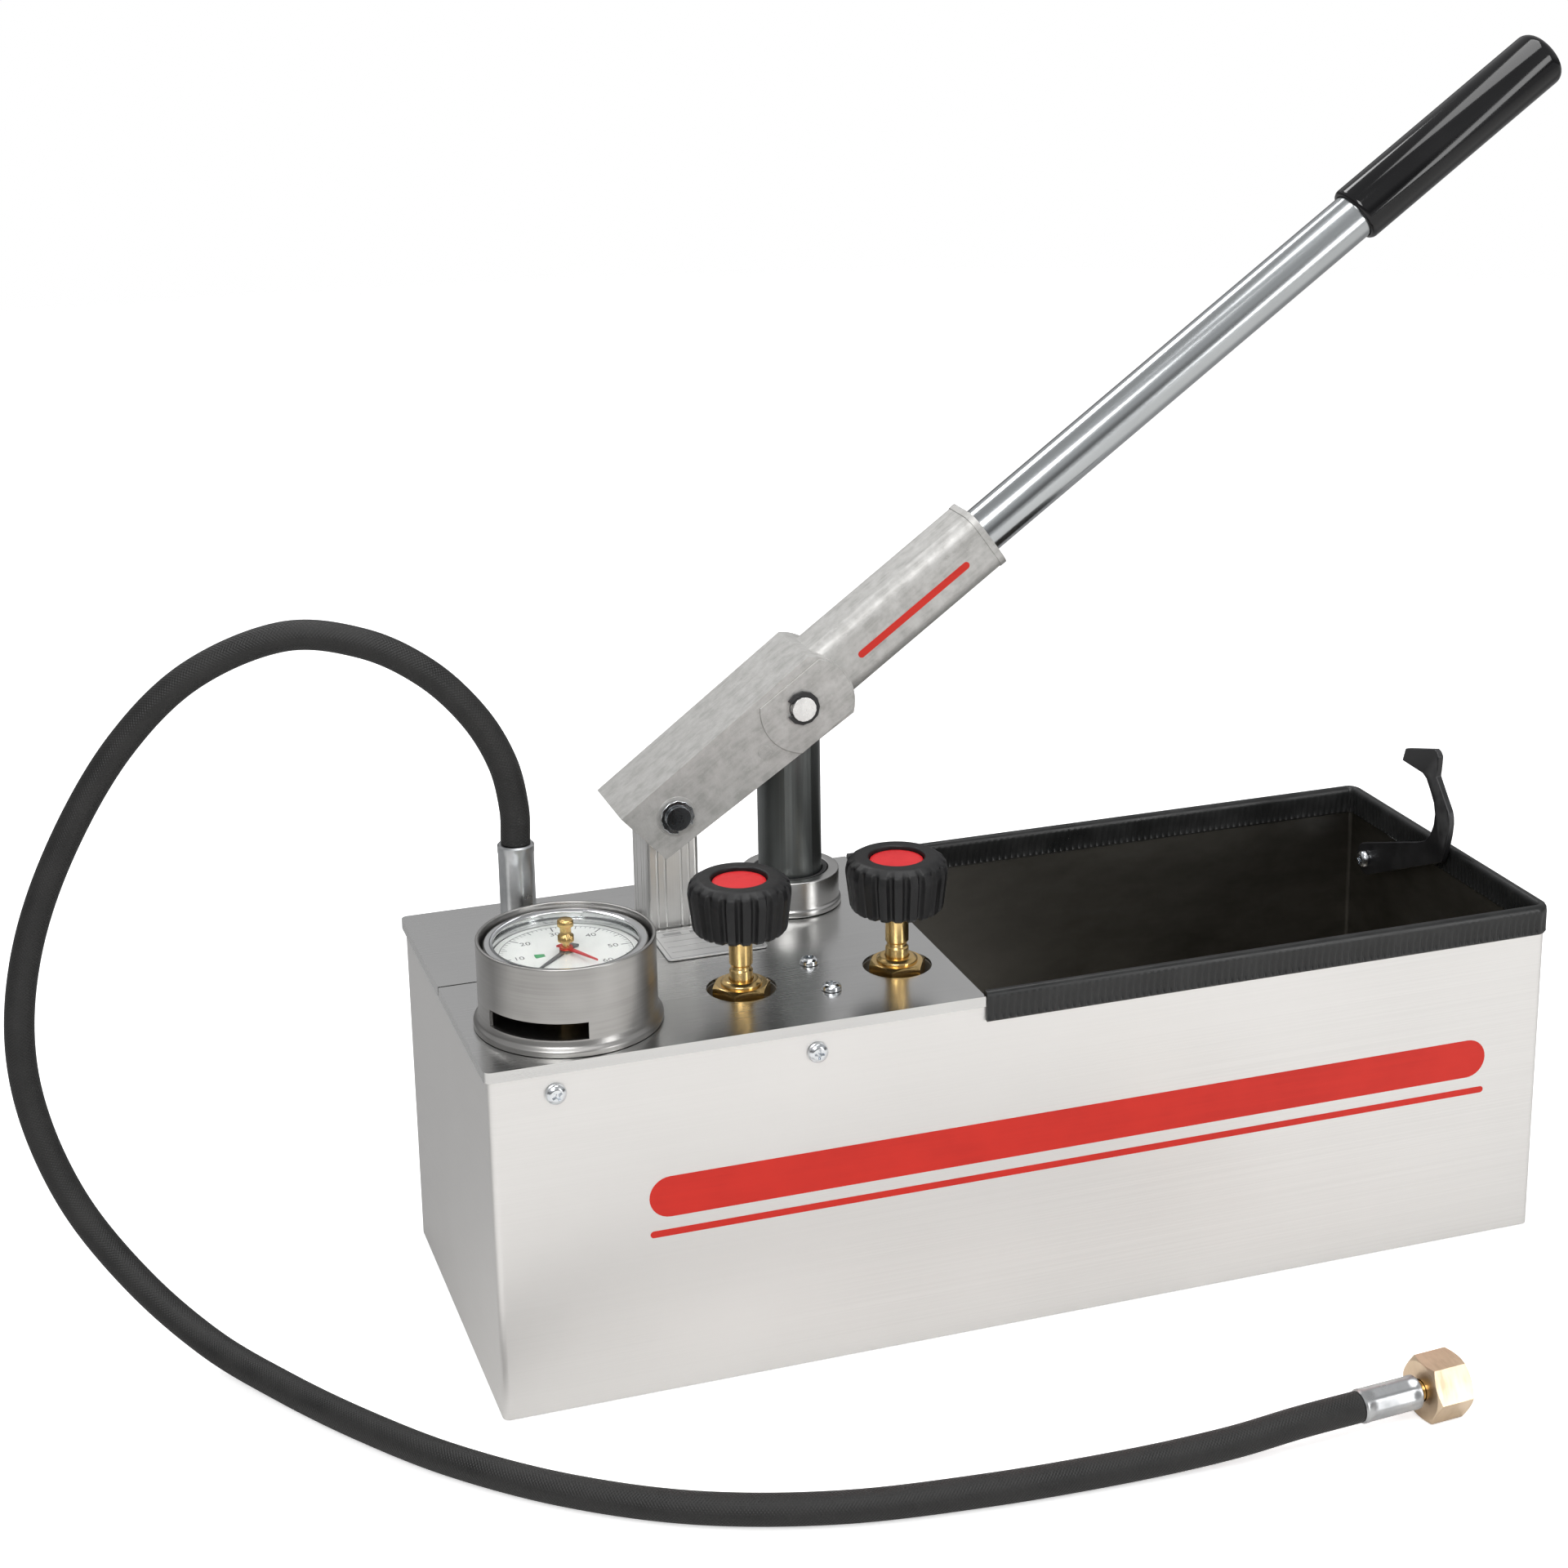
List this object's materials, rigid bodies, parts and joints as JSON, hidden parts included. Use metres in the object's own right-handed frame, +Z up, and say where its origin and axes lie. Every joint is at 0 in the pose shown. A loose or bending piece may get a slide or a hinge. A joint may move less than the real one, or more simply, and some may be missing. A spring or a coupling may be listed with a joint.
{
  "type": "hydraulic hand pump",
  "caption": "Hand-lever pressure pump on an open sheet-metal water tank, with a plunger cylinder, shut-off valves, a pressure gauge in a guard and a loose hose with a union nut.",
  "frame": {"origin": "centre of the tank's base, on the floor", "axes": "+X along the tank from the covered end towards the open end and the lever's grip, +Y towards the side the lever is on, +Z up"},
  "size_m": [0.7216, 0.3099, 0.5262],
  "materials": {
    "satin_steel": "satin brushed",
    "brushed_steel": "brushed",
    "zinc": "bright zinc plate",
    "cast_aluminium": "blasted casting",
    "chrome": "polished",
    "brass": "machined",
    "black_steel": "blackened",
    "dark_steel": "ground and hardened",
    "black_plastic": "matt",
    "gloss_plastic": "glossy dipped sleeve",
    "black_rubber": "matt",
    "red_plastic": "satin",
    "dial_white": "printed",
    "gauge_glass": "clear",
    "plate_grey": "etched plate",
    "steel_ball": "polished bearing ball"
  },
  "bodies": {
    "frame": {"tank": "satin_steel", "edge_trim": "black_rubber", "cover_plate": "brushed_steel", "cover_screw_1": "zinc", "cover_screw_2": "zinc", "cover_screw_3": "zinc", "cover_screw_4": "zinc", "block_screw_1": "zinc", "block_screw_2": "zinc", "rating_plate": "plate_grey", "pump_block": "cast_aluminium", "cylinder": "brushed_steel", "wiper_ring": "black_rubber", "suction_tube": "zinc", "suction_strainer": "zinc", "link_pin": "zinc", "gland_nut_1": "brass", "gland_nut_2": "brass", "gauge_guard": "brushed_steel", "gauge_socket": "brass", "gauge_case": "chrome", "gauge_movement": "brass", "gauge_dial": "dial_white", "gauge_glass": "gauge_glass", "gauge_bezel": "chrome", "hose_nipple": "zinc", "hose_ferrule": "zinc", "hose": "black_rubber", "end_ferrule": "zinc", "hose_tail": "brass", "nut_gasket": "black_rubber", "hook_screw": "zinc", "hook_spacer": "zinc", "hook_nut": "zinc"},
    "plunger": {"piston": "dark_steel", "piston_seal": "black_rubber"},
    "lever_arm": {"lever": "cast_aluminium", "handle_tube": "chrome", "grip": "gloss_plastic", "fulcrum_pin": "black_steel", "piston_pin": "zinc", "fulcrum_clip_1": "black_steel", "fulcrum_clip_2": "black_steel", "piston_clip_1": "black_steel", "piston_clip_2": "black_steel"},
    "rocking_link": {"fulcrum_link": "cast_aluminium"},
    "valve_1": {"valve_stem_1": "brass", "valve_knob_1": "black_plastic", "knob_cap_1": "red_plastic"},
    "valve_2": {"valve_stem_2": "brass", "valve_knob_2": "black_plastic", "knob_cap_2": "red_plastic"},
    "gauge_needle": {"gauge_pointer": "black_plastic"},
    "reset_pointer": {"drag_pointer": "red_plastic", "reset_knob": "brass"},
    "suction_ball": {"inlet_ball": "steel_ball"},
    "coupling_nut": {"union_nut": "brass"},
    "transport_hook": {"latch_hook": "black_steel"}
  },
  "joints": [
    {"name": "piston_slide", "type": "slide", "parent": "frame", "child": "plunger", "axis": [0, 0, 1], "range_m": [-0.0473, 0.018]},
    {"name": "lever_hinge", "type": "hinge", "parent": "plunger", "child": "lever_arm", "pos_m": [-0.0715, 0.043, 0.2529], "axis": [0, -1, 0], "range_deg": [-41.2, 15.6]},
    {"name": "link_hinge", "type": "hinge", "parent": "lever_arm", "child": "rocking_link", "pos_m": [-0.1297, 0.043, 0.21], "axis": [0, -1, 0], "range_deg": [-21.5, 56.6]},
    {"name": "valve_1_turn", "type": "hinge", "parent": "frame", "child": "valve_1", "pos_m": [-0.1218, -0.042, 0.155], "axis": [0, 0, 1], "range_deg": [0, 720]},
    {"name": "valve_2_turn", "type": "hinge", "parent": "frame", "child": "valve_2", "pos_m": [-0.0522, -0.042, 0.155], "axis": [0, 0, 1], "range_deg": [0, 720]},
    {"name": "gauge_needle_turn", "type": "hinge", "parent": "frame", "child": "gauge_needle", "pos_m": [-0.1972, -0.0463, 0.1838], "axis": [0, 0, -1], "range_deg": [0, 270], "stiffness_Nm_per_rad": 0.001},
    {"name": "reset_pointer_turn", "type": "hinge", "parent": "frame", "child": "reset_pointer", "pos_m": [-0.1972, -0.0463, 0.1838], "axis": [0, 0, -1], "continuous": true},
    {"name": "suction_ball_lift", "type": "slide", "parent": "frame", "child": "suction_ball", "axis": [0, 0, 1], "range_m": [0, 0.001]},
    {"name": "union_nut_spin", "type": "hinge", "parent": "frame", "child": "coupling_nut", "pos_m": [0.0798, -0.2103, 0.0123], "axis": [0.9976, 0.0698, 0], "continuous": true},
    {"name": "hook_swing", "type": "hinge", "parent": "frame", "child": "transport_hook", "pos_m": [0.2323, 0.058, 0.128], "axis": [1, 0, 0], "range_deg": [-14, 40]}
  ],
  "couplings": [
    {"joint": "piston_slide", "follows": "lever_hinge", "m_per_rad": 0.065617},
    {"joint": "link_hinge", "follows": "lever_hinge", "ratio": -1.3705}
  ]
}
